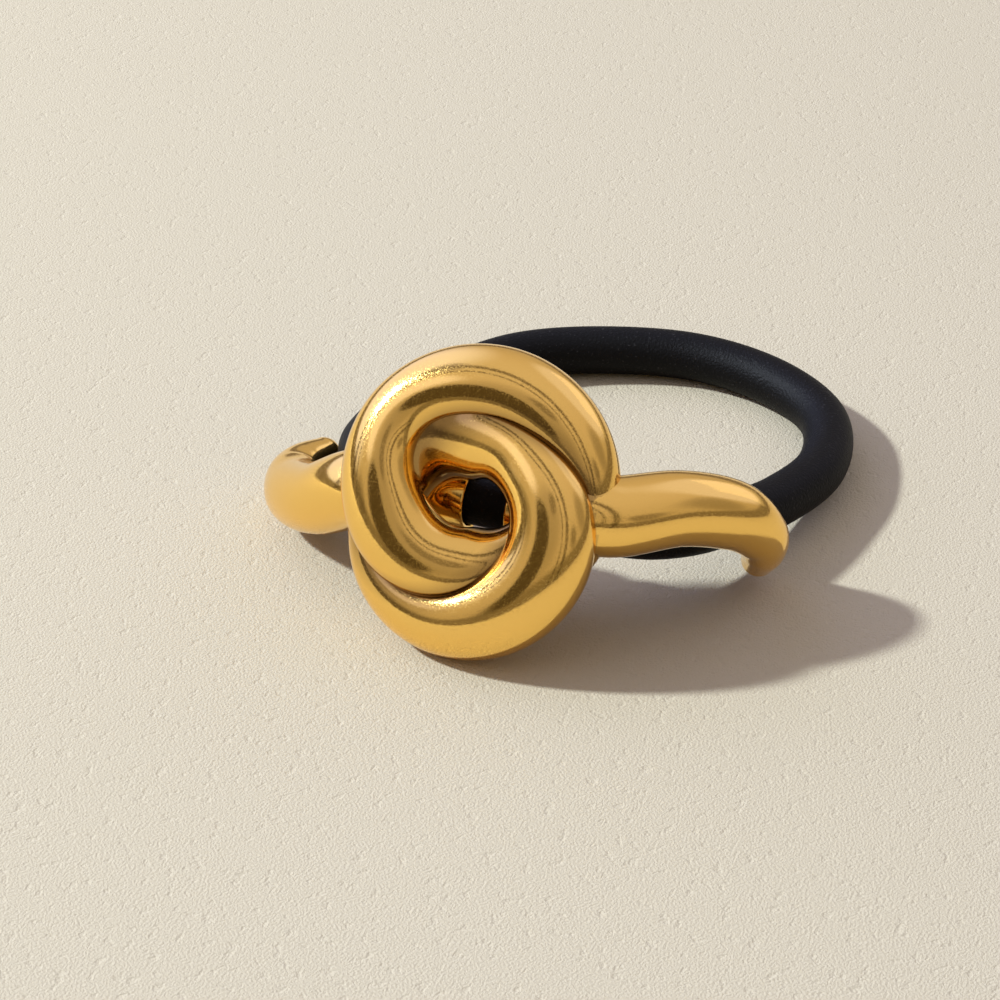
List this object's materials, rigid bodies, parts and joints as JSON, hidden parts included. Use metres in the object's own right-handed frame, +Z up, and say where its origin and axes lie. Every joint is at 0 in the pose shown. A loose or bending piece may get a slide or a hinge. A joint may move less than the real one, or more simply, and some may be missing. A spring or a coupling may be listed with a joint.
{
  "type": "metal cuff hair tie",
  "caption": "Hair tie with a polished gold knot, two tapering arms that hook back round the ponytail, and a thick black elastic loop held in sleeves behind the knot.",
  "frame": {"origin": "on the surface that the cuff stands on, under the middle of the cuff's own box, measured without the elastic", "axes": "+Z up, -Y the way the knot faces, +X across the cuff to the right as the knot faces the viewer"},
  "size_m": [0.0573, 0.0671, 0.0281],
  "materials": {
    "gold_plating": "gold-plated casting, polished to a mirror with a fine grain",
    "black_elastic": "matt black knitted sleeve over a rubber core"
  },
  "bodies": {
    "root": {"knot_cuff": "gold_plating", "elastic_loop": "black_elastic"}
  },
  "joints": []
}
